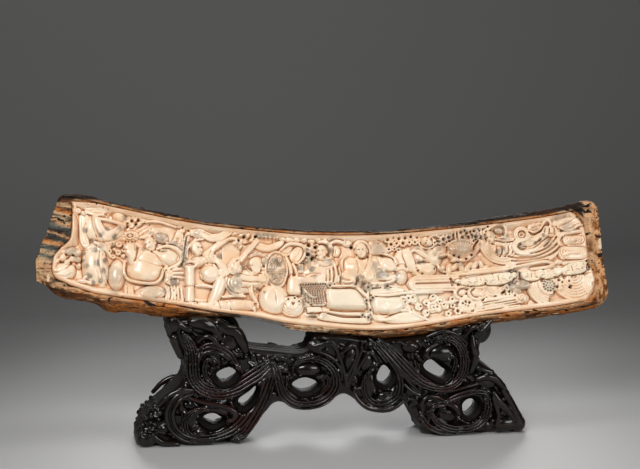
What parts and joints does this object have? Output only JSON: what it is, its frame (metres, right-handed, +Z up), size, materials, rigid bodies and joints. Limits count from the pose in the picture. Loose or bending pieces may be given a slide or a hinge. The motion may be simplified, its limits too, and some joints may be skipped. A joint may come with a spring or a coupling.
{
  "type": "carved mammoth tusk on a stand",
  "caption": "Curved mammoth tusk split lengthwise, its sunk face carved with robed figures and clouds, bark left on, resting on a pierced dark wood stand.",
  "frame": {"origin": "bottom centre of the whole object's bounding box, on the surface that the stand rests on", "axes": "+X along the tusk, from the end with the wide weathered rim to the end with the cracked rim; -Y faces the viewer, towards whom the carved face looks; +Z up"},
  "size_m": [0.7016, 0.1098, 0.2998],
  "materials": {
    "mammoth_ivory": "warm cream ivory, softly polished, with orange-brown and grey stain in its hollows and a rough dark brown bark outside",
    "pale_ivory": "paler, more polished ivory with engraved cloud spirals",
    "dark_hardwood": "near-black hardwood, waxed to a gloss, with a reddish cast"
  },
  "bodies": {
    "root": {"tusk": "mammoth_ivory", "cloud_strip_left": "pale_ivory", "cloud_strip_right": "pale_ivory", "stand": "dark_hardwood"}
  },
  "joints": []
}
